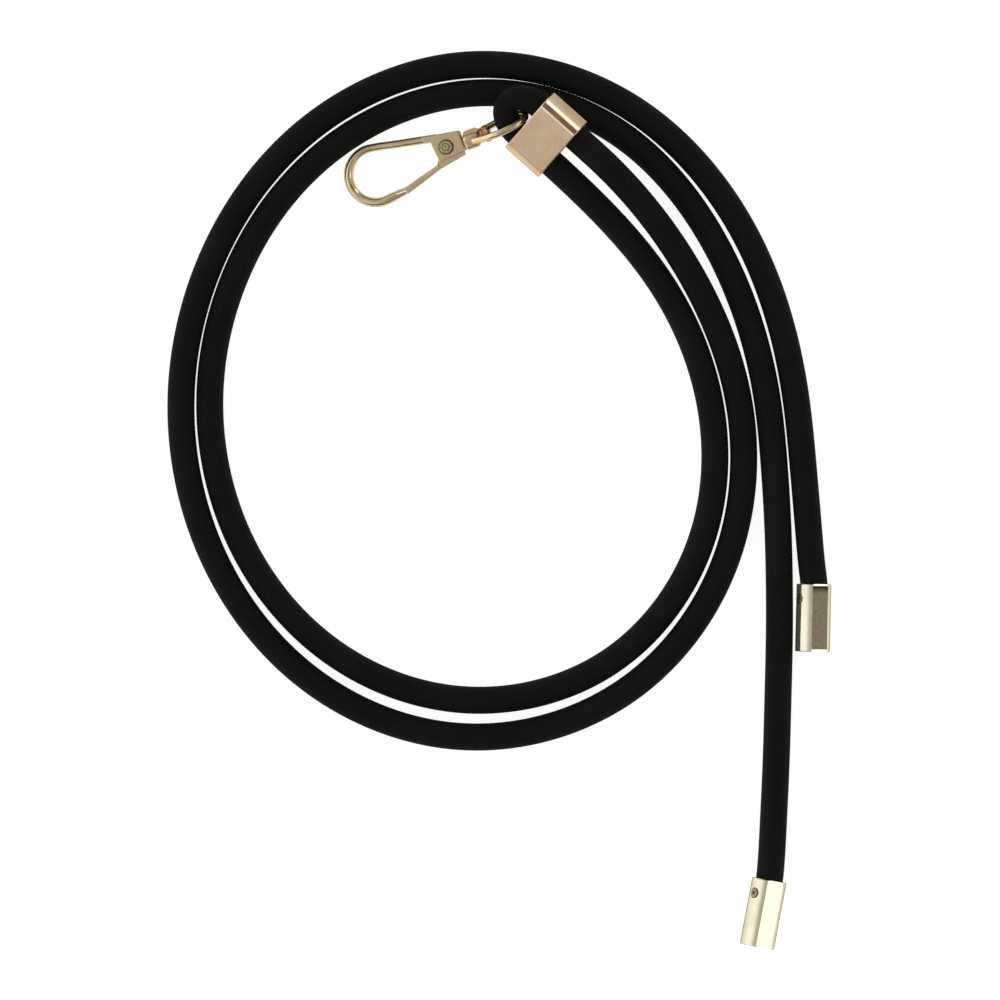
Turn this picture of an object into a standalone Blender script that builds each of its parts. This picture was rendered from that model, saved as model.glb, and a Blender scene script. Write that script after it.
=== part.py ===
"""Phone crossbody strap: a round cord folded at its middle, a two-channel slider, a swivel snap hook
and two end caps.

Metres, +Z up. The strap lies on the plane z = 0, and the origin is below the middle of its metal fittings.
Each fitting is modelled in the frame of an empty that stands where the fitting lies.
"""

import math

import bmesh
import bpy
import numpy as np
from mathutils import Matrix, Vector

CLEARANCE = 0.0003

# Cord
CORD_DIAMETER = 0.0080
CORD_POINT_SPACING = 0.021
CORD_INSERTION = 0.0030

# Where the cord lies. The turn's rows are clock angle in degrees, radius from the coil's centre and height.
# The tail's rows are x, y and height.
COIL_CENTRE = (-0.0364, 0.0346)
OUTER_TURN = [
    (30, 0.0811, 0.0128), (60, 0.0764, 0.0074), (90, 0.0808, 0.0041), (120, 0.0895, 0.0040),
    (150, 0.0969, 0.0040), (180, 0.0977, 0.0040), (210, 0.0920, 0.0040), (240, 0.0852, 0.0040),
    (270, 0.0821, 0.0040), (300, 0.0842, 0.0040), (330, 0.0912, 0.0040), (360, 0.0983, 0.0040),
    (375, 0.0996, 0.0040), (390, 0.0992, 0.0040), (420, 0.0960, 0.0040), (450, 0.0976, 0.0040),
]
OUTER_TAIL = [
    (0.0630, 0.0177, 0.0040), (0.0650, -0.0057, 0.0043), (0.0657, -0.0133, 0.0048),
]
INNER_TURN = [
    (30, 0.0705, 0.0083), (60, 0.0677, 0.0050), (90, 0.0723, 0.0040), (120, 0.0807, 0.0040),
    (150, 0.0872, 0.0040), (180, 0.0869, 0.0040), (210, 0.0817, 0.0040), (240, 0.0761, 0.0040),
    (270, 0.0737, 0.0040), (300, 0.0759, 0.0040), (330, 0.0826, 0.0040), (360, 0.0899, 0.0040),
    (375, 0.0913, 0.0040), (390, 0.0908, 0.0040), (420, 0.0870, 0.0040), (450, 0.0892, 0.0040),
]
INNER_TAIL = [
    (0.0546, 0.0177, 0.0040), (0.0557, 0.0001, 0.0040), (0.0562, -0.0174, 0.0040),
    (0.0562, -0.0349, 0.0040), (0.0558, -0.0524, 0.0040), (0.0553, -0.0699, 0.0040),
    (0.0545, -0.0875, 0.0042), (0.0538, -0.0997, 0.0048),
]

# Slider: its long side lies across the cord, and it leans on the strand below
SLIDER_PLACE = (-0.0119, 0.1124)
SLIDER_TURN = math.radians(-41.8)
SLIDER_LEAN = math.radians(25)
SLIDER_RAISED = 0.0030
SLIDER_LENGTH = 0.0132
SLIDER_HEIGHT = 0.0106
SLIDER_EDGE_RADIUS = 0.0029
SLIDER_END_BEVEL = 0.0004
SLIDER_SIDE_WALL = 0.0005
CHANNEL_SPACING = 0.0112
CHANNEL_DIAMETER = CORD_DIAMETER + 2 * CLEARANCE
SLIDER_WIDTH = CHANNEL_SPACING + CHANNEL_DIAMETER + 2 * SLIDER_SIDE_WALL

# The fold of the cord beyond the slider's left end, where the ring squeezes it
FOLD_REACH = 0.0074
FOLD_SQUEEZE = 0.90
FOLD_RISE = 0.0010

# Swivel: where the ring's base turns the hook, and how the hook's axis lies
SWIVEL_PLACE = (-0.03355, 0.11134, 0.00776)
SWIVEL_TURN = math.radians(200.12)
SWIVEL_SLOPE = math.radians(9.47)
PIN_DIAMETER = 0.0022
PIN_HEAD_DIAMETER = 0.0050
PIN_HEAD_LENGTH = 0.0030
PIN_SEAT_DEPTH = 0.0016

# Eye ring: a long loop of wire on a bored base, leaning about the hook's axis
RING_WIRE = 0.0021
RING_HALF_WIDTH = 0.00571
RING_REACH = 0.01716
RING_LEAN = math.radians(18.1)
RING_SWING = math.radians(1.32)
RING_YAW = math.radians(2.68)
RING_TUCK = 0.0007
BASE_LENGTH = 0.0049
BASE_WIDTH = 0.0068
BASE_THICKNESS = 0.0046
BASE_EDGE = 0.0012

# Hook: a plate with two ears, and a pear of wire that runs on from the plate's slanted side to the nose.
# Places on the hook are measured from the swivel along its axis, and across it towards the gate.
CHEEK_LENGTH = 0.0083
CHEEK_THICKNESS = 0.0040
CHEEK_SPINE_SIDE = 0.0036
CHEEK_GATE_SIDE = 0.0025
CHEEK_FLARE = 0.0008
CHEEK_SHOULDER = 0.0006
CHEEK_RUNOUT = 0.0021
CHEEK_RUNOUT_EDGES = (0.0018, 0.0002)
CHEEK_EDGE = 0.0003
SPINE_SLOPE = 0.195
SPINE_WIRE = 0.0023
SPINE_SHARES = (0.0, 0.35, 0.7)
HOOK_WIRE = 0.0028
BEND_RADIUS = 0.0080
BEND_CENTRE = (0.0304, 0.0001)
BEND_FROM, BEND_TO = -100, 97
BEND_TAPER = 6
NOSE_LENGTH = 0.0055
NOSE_SLANT = 0.0006
NOSE_WIRE = 0.0024
NOSE_LIP = 0.0010

# Gate: a bar on a flat root that turns on the rivet between the ears
RIVET_PLACE = (0.0077, -0.0003)
RIVET_DIAMETER = 0.0022
RIVET_HEAD_DIAMETER = 0.0044
RIVET_HEAD_HEIGHT = 0.0005
GATE_ROOT_THICKNESS = 0.0014
GATE_EYE_DIAMETER = 0.0038
GATE_BAND_WIDTH = 0.0012
GATE_BAND_SUNK = 0.0006
GATE_BAR_THICKNESS = 0.0023
GATE_BAR_START = (0.0116, 0.0043)
GATE_BAR_START_WIDTH = 0.0016
GATE_BAR_END_WIDTH = 0.0021
GATE_TONGUE_LENGTH = 0.0030
GATE_TONGUE_WIDTH = 0.0009

# End caps: bored tubes with a flat milled along them and a screw through the wall
CAP_WALL = 0.0008
CAP_LENGTH = 0.0198
CAP_FLOOR = 0.0036
CAP_BEVEL = CAP_WALL / 2
CAP_FLAT_DEPTH = CAP_WALL * 0.8
CAP_FLAT_TURN = math.radians(24)
CAP_SCREW_DIAMETER = 0.0028
CAP_SCREW_FROM_MOUTH = 0.0044
CAP_SCREW_PROUD = 0.0002
CAP_SCREW_SOCKET = 0.0012
CAP_BORE = CORD_DIAMETER + 2 * CLEARANCE
CAP_DIAMETER = CAP_BORE + 2 * CAP_WALL
# Where each cap's mouth lies, the way the cap points, and how far its screw is turned from the top
CAP_SEATS = {
    "outer": ((0.0663, -0.0185), math.radians(-91.3), math.radians(-58)),
    "inner": ((0.0533, -0.1049), math.radians(-100.7), math.radians(-48)),
}

# Sides of round faces: pins and their holes, heads, channels and bores, and the caps' outsides
PIN_SIDES = 24
HEAD_SIDES = 32
ROUND_SIDES = 40
CAP_SIDES = 48
WIRE_RESOLUTION = 3
BEND_STEPS = 18
FOLD_POINTS = 13


def remove_all():
    for obj in list(bpy.data.objects):
        bpy.data.objects.remove(obj, do_unlink=True)


def collection(name):
    made = bpy.data.collections.new(name)
    bpy.context.scene.collection.children.link(made)
    return made


def material(name, colour, roughness, metallic):
    made = bpy.data.materials.new(name)
    made.use_nodes = True
    shader = made.node_tree.nodes["Principled BSDF"]
    shader.inputs["Base Color"].default_value = (*colour, 1.0)
    shader.inputs["Roughness"].default_value = roughness
    shader.inputs["Metallic"].default_value = metallic
    return made


def seat(name, location, rotation=(0, 0, 0)):
    """An empty whose frame the fittings on it are modelled in."""
    empty = bpy.data.objects.new(name, None)
    empty.empty_display_size = CLEARANCE
    empty.location = location
    empty.rotation_euler = rotation
    parts.objects.link(empty)
    return empty


def add_object(name, mesh, parent=None, finish=None, location=(0, 0, 0), cutter=False):
    obj = bpy.data.objects.new(name, mesh)
    obj.location = location
    obj.parent = parent
    if cutter:
        obj.hide_render = True
        obj.display_type = "WIRE"
        cutters.objects.link(obj)
    else:
        mesh.materials.append(finish)
        parts.objects.link(obj)
    return obj


def mesh_of_curve(curve):
    """The curve's own mesh, with its loose caps welded."""
    holder = bpy.data.objects.new(curve.name, curve)
    parts.objects.link(holder)
    graph = bpy.context.evaluated_depsgraph_get()
    mesh = bpy.data.meshes.new_from_object(holder.evaluated_get(graph))
    bpy.data.objects.remove(holder, do_unlink=True)
    bpy.data.curves.remove(curve)
    bm = bmesh.new()
    bm.from_mesh(mesh)
    bmesh.ops.remove_doubles(bm, verts=bm.verts, dist=1e-6)
    bmesh.ops.recalc_face_normals(bm, faces=bm.faces)
    bm.to_mesh(mesh)
    bm.free()
    return mesh


def smooth(mesh, angle=35):
    mesh.shade_smooth()
    mesh.set_sharp_from_angle(angle=math.radians(angle))
    return mesh


def tube_curve(name, points, radii, cyclic=False, resolution=WIRE_RESOLUTION):
    curve = bpy.data.curves.new(name, "CURVE")
    curve.dimensions = "3D"
    curve.bevel_depth = max(radii)
    curve.bevel_resolution = resolution
    curve.use_fill_caps = not cyclic
    spline = curve.splines.new("POLY")
    spline.points.add(len(points) - 1)
    for at, point, radius in zip(spline.points, points, radii):
        at.co = (*point, 1.0)
        at.radius = radius / max(radii)
    spline.use_cyclic_u = cyclic
    return curve


def prism(name, outline, thickness):
    """A flat outline in the XY plane, thickened equally to both sides."""
    curve = bpy.data.curves.new(name, "CURVE")
    curve.dimensions = "2D"
    curve.fill_mode = "BOTH"
    curve.extrude = thickness / 2
    spline = curve.splines.new("POLY")
    spline.points.add(len(outline) - 1)
    for at, (x, y) in zip(spline.points, outline):
        at.co = (x, y, 0.0, 1.0)
    spline.use_cyclic_u = True
    return mesh_of_curve(curve)


def rod(name, radius, start, end, sides=ROUND_SIDES):
    """A cylinder between two points."""
    start, end = Vector(start), Vector(end)
    turn = (end - start).to_track_quat("Z", "Y").to_matrix().to_4x4()
    mesh = bpy.data.meshes.new(name)
    bm = bmesh.new()
    bmesh.ops.create_cone(
        bm, cap_ends=True, segments=sides, radius1=radius, radius2=radius, depth=(end - start).length,
        matrix=Matrix.Translation((start + end) / 2) @ turn,
    )
    bm.to_mesh(mesh)
    bm.free()
    return mesh


def block(name, lows, highs):
    """A box between two corners."""
    lows, highs = Vector(lows), Vector(highs)
    mesh = bpy.data.meshes.new(name)
    bm = bmesh.new()
    bmesh.ops.create_cube(
        bm, size=1.0,
        matrix=Matrix.Translation((lows + highs) / 2) @ Matrix.Diagonal((*(highs - lows), 1.0)),
    )
    bm.to_mesh(mesh)
    bm.free()
    return mesh


def combine(obj, mesh, operation, name, location=(0, 0, 0)):
    """Cuts a mesh out of the object, or joins it on, in the object's own frame."""
    tool = add_object(name, mesh, obj.parent, location=obj.location + Vector(location), cutter=True)
    step = obj.modifiers.new(name, "BOOLEAN")
    step.operation = operation
    step.solver = "EXACT"
    step.object = tool


def round_edges(obj, width, angle, segments=2):
    step = obj.modifiers.new("edges", "BEVEL")
    step.width = width
    step.segments = segments
    step.limit_method = "ANGLE"
    step.angle_limit = math.radians(angle)


def arc(centre, radius, first, last, steps):
    """Points on an arc, with its angles in degrees."""
    turns = np.radians(np.linspace(first, last, steps + 1))
    return [(centre[0] + radius * math.cos(t), centre[1] + radius * math.sin(t)) for t in turns]


def spline_through(knots, spacing):
    """Points about one spacing apart, or at the knots, on the natural cubic spline through the knots."""
    knots = np.array(knots, dtype=float)
    gaps = np.linalg.norm(np.diff(knots, axis=0), axis=1)
    count = len(knots)
    system, right = np.eye(count), np.zeros((count, 3))
    for i in range(1, count - 1):
        before, after = gaps[i - 1], gaps[i]
        system[i, i - 1:i + 2] = before, 2 * (before + after), after
        right[i] = 6 * ((knots[i + 1] - knots[i]) / after - (knots[i] - knots[i - 1]) / before)
    bend = np.linalg.solve(system, right)
    points = []
    for i, gap in enumerate(gaps):
        steps = max(1, round(gap / spacing))
        for step in range(steps):
            done = gap * step / steps
            left = gap - done
            cubic = (bend[i] * left**3 + bend[i + 1] * done**3) / (6 * gap)
            linear = (knots[i] / gap - bend[i] * gap / 6) * left
            points.append(cubic + linear + (knots[i + 1] / gap - bend[i + 1] * gap / 6) * done)
    points.append(knots[-1])
    return points


def slider_rest_height():
    """How high the slider's middle lies, so that its underside clears the strand that it leans on."""
    lowest_corner = (
        (SLIDER_WIDTH / 2 - SLIDER_EDGE_RADIUS) * math.sin(SLIDER_LEAN)
        + (SLIDER_HEIGHT / 2 - SLIDER_EDGE_RADIUS) * math.cos(SLIDER_LEAN)
        + SLIDER_EDGE_RADIUS
    )
    return lowest_corner + SLIDER_RAISED


def slider_frame():
    place = Matrix.Translation((*SLIDER_PLACE, slider_rest_height()))
    return place @ Matrix.Rotation(SLIDER_TURN, 4, "Z") @ Matrix.Rotation(SLIDER_LEAN, 4, "X")


def rounded_rectangle(width, height, radius, steps=6):
    points = []
    for quarter, (side_x, side_y) in enumerate([(1, 1), (-1, 1), (-1, -1), (1, -1)]):
        centre = (side_x * (width / 2 - radius), side_y * (height / 2 - radius))
        points += arc(centre, radius, 90 * quarter, 90 * quarter + 90, steps)
    return points


def build_slider(finish):
    empty = seat("slider_seat", (*SLIDER_PLACE, slider_rest_height()), (SLIDER_LEAN, 0, SLIDER_TURN))
    outline = rounded_rectangle(SLIDER_WIDTH, SLIDER_HEIGHT, SLIDER_EDGE_RADIUS)
    body = prism("slider", outline, SLIDER_LENGTH)
    body.transform(Matrix.Rotation(math.radians(90), 4, "Z") @ Matrix.Rotation(math.radians(90), 4, "X"))
    slider = add_object("slider", smooth(body), empty, finish)
    round_edges(slider, SLIDER_END_BEVEL, 60)
    for side in (-1, 1):
        at = side * CHANNEL_SPACING / 2
        channel = rod(f"channel_{side}", CHANNEL_DIAMETER / 2, (-SLIDER_LENGTH, at, 0), (SLIDER_LENGTH, at, 0))
        combine(slider, smooth(channel), "DIFFERENCE", f"channel_{side}")
    return empty


def build_cord_loop(empty, finish):
    """The fold: out of one channel, round half an ellipse and back into the other."""
    end = -SLIDER_LENGTH / 2
    start = SLIDER_LENGTH / 2 - CORD_INSERTION - CLEARANCE
    half = CHANNEL_SPACING / 2
    points, radii = [(start, half, 0.0)], [CORD_DIAMETER / 2]
    for turn in np.radians(np.linspace(0, 180, FOLD_POINTS)):
        reach = math.sin(turn)
        points.append((end - CLEARANCE - FOLD_REACH * reach, half * math.cos(turn), FOLD_RISE * reach))
        radii.append(CORD_DIAMETER / 2 * (1 - (1 - FOLD_SQUEEZE) * reach))
    points.append((start, -half, 0.0))
    radii.append(CORD_DIAMETER / 2)
    curve = tube_curve("cord_loop", points, radii, resolution=4)
    add_object("cord_loop", smooth(mesh_of_curve(curve)), empty, finish)


def on_turn(row):
    clock, radius, height = row
    turn = math.radians(clock)
    return (COIL_CENTRE[0] + radius * math.sin(turn), COIL_CENTRE[1] + radius * math.cos(turn), height)


def build_cord(name, side, turn, tail, cap, finish):
    """One half of the cord, from inside the slider's right end to inside its cap."""
    frame = slider_frame()
    channel = side * CHANNEL_SPACING / 2
    start = [frame @ Vector((x, channel, 0)) for x in (SLIDER_LENGTH / 2 - CORD_INSERTION, SLIDER_LENGTH / 2)]
    (x, y), heading, _ = CAP_SEATS[cap]
    mouth = Vector((x, y, CAP_DIAMETER / 2))
    end = mouth + Vector((math.cos(heading), math.sin(heading), 0)) * (CAP_LENGTH - CAP_FLOOR - CLEARANCE)
    knots = [*start, *map(on_turn, turn), *tail, mouth, end]
    points = spline_through(knots, CORD_POINT_SPACING)
    points = [(x, y, max(z, CORD_DIAMETER / 2)) for x, y, z in points]
    curve = tube_curve(name, points, [CORD_DIAMETER / 2] * len(points), resolution=2)
    add_object(name, smooth(mesh_of_curve(curve), 60), None, finish)


def build_cap(which, finish):
    (x, y), heading, screw_turn = CAP_SEATS[which]
    radius = CAP_DIAMETER / 2
    empty = seat(f"cap_{which}_seat", (x, y, radius), (0, 0, heading))
    cap = add_object(f"end_cap_{which}", rod("cap", radius, (0, 0, 0), (CAP_LENGTH, 0, 0), CAP_SIDES), empty, finish)
    flat = block("flat", (-radius, -radius, radius - CAP_FLAT_DEPTH), (CAP_LENGTH + radius, radius, 2 * radius))
    flat.transform(Matrix.Rotation(-CAP_FLAT_TURN, 4, "X"))
    combine(cap, flat, "DIFFERENCE", f"flat_{which}")
    round_edges(cap, CAP_BEVEL, 20)
    bore = rod("bore", CAP_BORE / 2, (-radius, 0, 0), (CAP_LENGTH - CAP_FLOOR, 0, 0))
    combine(cap, bore, "DIFFERENCE", f"bore_{which}")
    across = Matrix.Rotation(-screw_turn, 4, "X")
    foot = across @ Vector((CAP_SCREW_FROM_MOUTH, 0, CORD_DIAMETER / 2 + CLEARANCE))
    head = across @ Vector((CAP_SCREW_FROM_MOUTH, 0, radius + CAP_SCREW_PROUD))
    beyond = across @ Vector((CAP_SCREW_FROM_MOUTH, 0, 2 * radius))
    hole = rod("hole", CAP_SCREW_DIAMETER / 2 + CLEARANCE, (CAP_SCREW_FROM_MOUTH, 0, 0), beyond, PIN_SIDES)
    combine(cap, hole, "DIFFERENCE", f"hole_{which}")
    screw = add_object(f"cap_screw_{which}", rod("screw", CAP_SCREW_DIAMETER / 2, foot, head, PIN_SIDES), empty, finish)
    middle = (foot + head) / 2
    socket = rod("socket", CAP_SCREW_SOCKET / 2, middle, beyond, 6)
    combine(screw, socket, "DIFFERENCE", f"socket_{which}")
    for obj in (cap, screw):
        smooth(obj.data)


def build_ring(empty, finish):
    """The wire runs out along one arm, round the far end and back, and closes through the base."""
    lean = Matrix.Rotation(-RING_LEAN, 4, "X")
    straight = RING_REACH - RING_HALF_WIDTH
    shoulder = BASE_LENGTH / 2 + RING_WIRE / 2
    tail = [(-RING_TUCK, BASE_WIDTH / 2 - RING_TUCK), (-shoulder, BASE_WIDTH / 2 + RING_TUCK)]
    far = [(-x, z) for x, z in arc((straight, 0), RING_HALF_WIDTH, 90, -90, 14)]
    near = [(-(shoulder + straight) / 2, RING_HALF_WIDTH)]
    half = [*tail, *near]
    loop = [*half, *far, *[(x, -z) for x, z in reversed(half)]]
    wire_turn = lean @ Matrix.Rotation(RING_SWING, 4, "Y") @ Matrix.Rotation(RING_YAW, 4, "Z")
    points = [wire_turn @ Vector((x, 0, z)) for x, z in loop]
    curve = tube_curve("eye_ring", points, [RING_WIRE / 2] * len(points), cyclic=True)
    ring = add_object("eye_ring", smooth(mesh_of_curve(curve)), empty, finish)
    base = block(
        "base",
        (-BASE_LENGTH / 2, -BASE_THICKNESS / 2, -BASE_WIDTH / 2),
        (BASE_LENGTH / 2, BASE_THICKNESS / 2, BASE_WIDTH / 2),
    )
    bm = bmesh.new()
    bm.from_mesh(base)
    bmesh.ops.bevel(bm, geom=bm.edges[:], offset=BASE_EDGE, segments=3, profile=0.5, affect="EDGES")
    bm.to_mesh(base)
    bm.free()
    base.transform(lean)
    combine(ring, smooth(base), "UNION", "ring_base")
    bore = rod("bore", PIN_DIAMETER / 2 + CLEARANCE, (-BASE_LENGTH, 0, 0), (BASE_LENGTH, 0, 0), PIN_SIDES)
    combine(ring, bore, "DIFFERENCE", "ring_bore")


def build_pin(empty, finish):
    head = -BASE_LENGTH / 2 - CLEARANCE
    root = cheek_start() + PIN_SEAT_DEPTH - CLEARANCE
    shaft = rod("shaft", PIN_DIAMETER / 2, (head - PIN_HEAD_LENGTH / 2, 0, 0), (root, 0, 0), PIN_SIDES)
    pin = add_object("swivel_pin", smooth(shaft), empty, finish)
    knob = rod("knob", PIN_HEAD_DIAMETER / 2, (head - PIN_HEAD_LENGTH, 0, 0), (head, 0, 0), HEAD_SIDES)
    bm = bmesh.new()
    bm.from_mesh(knob)
    rims = [edge for edge in bm.edges if edge.calc_face_angle() > 1]
    bmesh.ops.bevel(bm, geom=rims, offset=CHEEK_EDGE, segments=2, profile=0.5, affect="EDGES")
    bm.to_mesh(knob)
    bm.free()
    combine(pin, smooth(knob), "UNION", "pin_head")


def cheek_start():
    return BASE_LENGTH / 2 + CLEARANCE


def spine_side(x):
    """Where the slanted side that the plate shares with the spine lies, at a distance along the axis."""
    return -(CHEEK_SPINE_SIDE + SPINE_SLOPE * (x - cheek_start()))


def hook_wire():
    """The wire's middle line from the cheek round to the nose, with its radius at each point."""
    root_x = cheek_start() + CHEEK_LENGTH - SPINE_WIRE / 2
    spine_root = (root_x, spine_side(root_x) + SPINE_WIRE / 2)
    bend = arc(BEND_CENTRE, BEND_RADIUS, BEND_FROM, BEND_TO, BEND_STEPS)
    nose_end = (bend[-1][0] - NOSE_LENGTH, bend[-1][1] - NOSE_SLANT)
    spine = [tuple(a + (b - a) * share for a, b in zip(spine_root, bend[0])) for share in SPINE_SHARES]
    points = [*spine, *bend, nose_end]
    radii = [SPINE_WIRE / 2] * len(spine)
    radii += [(SPINE_WIRE + (HOOK_WIRE - SPINE_WIRE) * min(1, i / BEND_TAPER)) / 2 for i in range(len(bend))]
    return [(x, y, 0.0) for x, y in points], [*radii, NOSE_WIRE / 2]


def nose_face():
    """The flat inside the nose that the gate's tongue closes against."""
    return hook_wire()[0][-1][1] + NOSE_WIRE / 2 - NOSE_LIP


def gate_bar_end():
    """The bar stops short of the nose, with its outer side in line with the nose's."""
    nose_x, nose_y, _ = hook_wire()[0][-1]
    corner = NOSE_WIRE / 2 * NOSE_SLANT / NOSE_LENGTH
    return (nose_x - corner - CLEARANCE, nose_y + (NOSE_WIRE - GATE_BAR_END_WIDTH) / 2)


def build_hook(empty, finish):
    start = cheek_start()
    end = start + CHEEK_LENGTH
    shoulder = end + CHEEK_SHOULDER
    runout = shoulder + CHEEK_RUNOUT
    outline = [
        (start, -CHEEK_SPINE_SIDE), (start, CHEEK_GATE_SIDE), (end, CHEEK_GATE_SIDE + CHEEK_FLARE),
        (shoulder, spine_side(shoulder) + SPINE_WIRE),
        *((runout, spine_side(runout) + edge) for edge in CHEEK_RUNOUT_EDGES),
    ]
    hook = add_object("hook", prism("hook", outline, CHEEK_THICKNESS), empty, finish)
    eye_room = GATE_EYE_DIAMETER / 2 + CLEARANCE
    eye_x, eye_y = RIVET_PLACE[0] - eye_room, RIVET_PLACE[1] - eye_room
    beyond, below = runout + CHEEK_THICKNESS, 3 * CHEEK_SPINE_SIDE
    band_x, band_y = start + CLEARANCE, CHEEK_GATE_SIDE - GATE_BAND_SUNK - CLEARANCE
    slot_outline = [
        (band_x, below), (band_x, band_y), (eye_x, band_y), (eye_x, eye_y), (beyond, eye_y), (beyond, below),
    ]
    slot = prism("gate_slot", slot_outline, GATE_ROOT_THICKNESS + 2 * CLEARANCE)
    combine(hook, slot, "DIFFERENCE", "gate_slot")
    x, y = RIVET_PLACE
    rivet_hole = rod(
        "rivet_hole", RIVET_DIAMETER / 2 + CLEARANCE, (x, y, -CHEEK_THICKNESS), (x, y, CHEEK_THICKNESS), PIN_SIDES
    )
    combine(hook, rivet_hole, "DIFFERENCE", "rivet_hole")
    pin_hole = rod("pin_hole", PIN_DIAMETER / 2 + CLEARANCE, (0, 0, 0), (start + PIN_SEAT_DEPTH, 0, 0), PIN_SIDES)
    combine(hook, pin_hole, "DIFFERENCE", "pin_hole")
    round_edges(hook, CHEEK_EDGE, 50)
    points, radii = hook_wire()
    combine(hook, mesh_of_curve(tube_curve("pear", points, radii)), "UNION", "hook_pear")
    step_from = points[-1][0] - NOSE_LENGTH
    step_to = gate_bar_end()[0] + GATE_TONGUE_LENGTH + CLEARANCE
    step = block("nose_step", (step_from, 0, -HOOK_WIRE), (step_to, nose_face(), HOOK_WIRE))
    combine(hook, step, "DIFFERENCE", "nose_step")
    smooth(hook.data)


def build_rivet(empty, finish):
    x, y = RIVET_PLACE
    reach = CHEEK_THICKNESS / 2 + CLEARANCE
    sunk = RIVET_HEAD_HEIGHT / 2
    shaft = rod("rivet", RIVET_DIAMETER / 2, (x, y, -reach - sunk), (x, y, reach + sunk), PIN_SIDES)
    rivet = add_object("rivet", shaft, empty, finish)
    for side in (-1, 1):
        inner, outer = side * reach, side * (reach + RIVET_HEAD_HEIGHT)
        head = rod("head", RIVET_HEAD_DIAMETER / 2, (x, y, inner), (x, y, outer), HEAD_SIDES)
        combine(rivet, head, "UNION", f"rivet_head_{side}")
    smooth(rivet.data)


def build_gate(empty, finish):
    """Modelled round the rivet, which is its origin."""
    start = cheek_start() + 2 * CLEARANCE
    eye = GATE_EYE_DIAMETER / 2
    band_top = CHEEK_GATE_SIDE - GATE_BAND_SUNK
    band_side = CHEEK_GATE_SIDE + GATE_BAND_WIDTH
    end_x, end_y = gate_bar_end()
    start_x, start_y = GATE_BAR_START
    start_half, end_half = GATE_BAR_START_WIDTH / 2, GATE_BAR_END_WIDTH / 2
    tongue_out = nose_face() - CLEARANCE
    tongue_tip = end_x + GATE_TONGUE_LENGTH
    root_outline = [
        *arc(RIVET_PLACE, eye, 150, 330, 12),
        (start_x + start_half, start_y - start_half / 2),
        (start_x + start_half, start_y + start_half / 2),
        (start_x, start_y + start_half),
        (start, band_side),
        (start, band_top),
        (RIVET_PLACE[0] - eye * 0.8, band_top),
    ]
    bar_outline = [
        (start_x, start_y - start_half),
        (end_x, end_y - end_half),
        (tongue_tip, tongue_out - GATE_TONGUE_WIDTH),
        (tongue_tip, tongue_out),
        (end_x, tongue_out),
        (end_x, end_y + end_half),
        (start_x, start_y + start_half),
    ]
    x, y = RIVET_PLACE
    outlines = [[(u - x, v - y) for u, v in outline] for outline in (root_outline, bar_outline)]
    root = prism("gate", outlines[0], GATE_ROOT_THICKNESS)
    gate = add_object("gate", root, empty, finish, (x, y, 0))
    combine(gate, prism("bar", outlines[1], GATE_BAR_THICKNESS), "UNION", "gate_bar")
    hole = rod("gate_hole", RIVET_DIAMETER / 2 + CLEARANCE, (0, 0, -HOOK_WIRE), (0, 0, HOOK_WIRE), PIN_SIDES)
    combine(gate, hole, "DIFFERENCE", "gate_hole")
    smooth(gate.data)


remove_all()
parts = collection("phone_crossbody_strap")
cutters = collection("cutters")
gold = material("polished_gold", (0.80, 0.62, 0.38), 0.16, 1.0)
steel = material("dark_steel", (0.30, 0.25, 0.18), 0.35, 1.0)
cloth = material("black_cord", (0.010, 0.010, 0.010), 0.85, 0.0)

slider_seat = build_slider(gold)
build_cord_loop(slider_seat, cloth)
build_cord("cord_outer", 1, OUTER_TURN, OUTER_TAIL, "outer", cloth)
build_cord("cord_inner", -1, INNER_TURN, INNER_TAIL, "inner", cloth)
for which in CAP_SEATS:
    build_cap(which, gold)

swivel = seat("swivel", SWIVEL_PLACE, (0, SWIVEL_SLOPE, SWIVEL_TURN))
build_ring(swivel, gold)
build_pin(swivel, gold)
build_hook(swivel, gold)
build_rivet(swivel, steel)
build_gate(swivel, gold)
bpy.context.view_layer.update()
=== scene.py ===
import math

import bmesh
import bpy
import numpy as np
from mathutils import Matrix, Vector


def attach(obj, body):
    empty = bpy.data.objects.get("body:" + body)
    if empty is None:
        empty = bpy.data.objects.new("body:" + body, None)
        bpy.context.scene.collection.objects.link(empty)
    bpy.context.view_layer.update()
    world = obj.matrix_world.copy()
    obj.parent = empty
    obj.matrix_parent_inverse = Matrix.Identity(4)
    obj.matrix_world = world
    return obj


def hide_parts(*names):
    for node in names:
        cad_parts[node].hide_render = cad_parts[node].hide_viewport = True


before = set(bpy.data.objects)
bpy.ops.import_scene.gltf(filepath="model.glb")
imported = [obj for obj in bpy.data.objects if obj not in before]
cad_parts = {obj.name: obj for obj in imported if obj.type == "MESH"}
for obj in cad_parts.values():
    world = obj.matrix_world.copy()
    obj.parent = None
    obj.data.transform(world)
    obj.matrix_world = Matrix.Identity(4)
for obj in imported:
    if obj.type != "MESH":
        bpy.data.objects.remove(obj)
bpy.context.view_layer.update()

scene = bpy.context.scene

# Sizes and places, in metres. They are those of the solids.

CLEARANCE = 0.0003
NEARLY_NOTHING = 1e-7
CORD_DIAMETER = 0.0080
CORD_INSERTION = 0.0030
CORD_POINT_SPACING = 0.001
COIL_CENTRE = (-0.0364, 0.0346)
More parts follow.
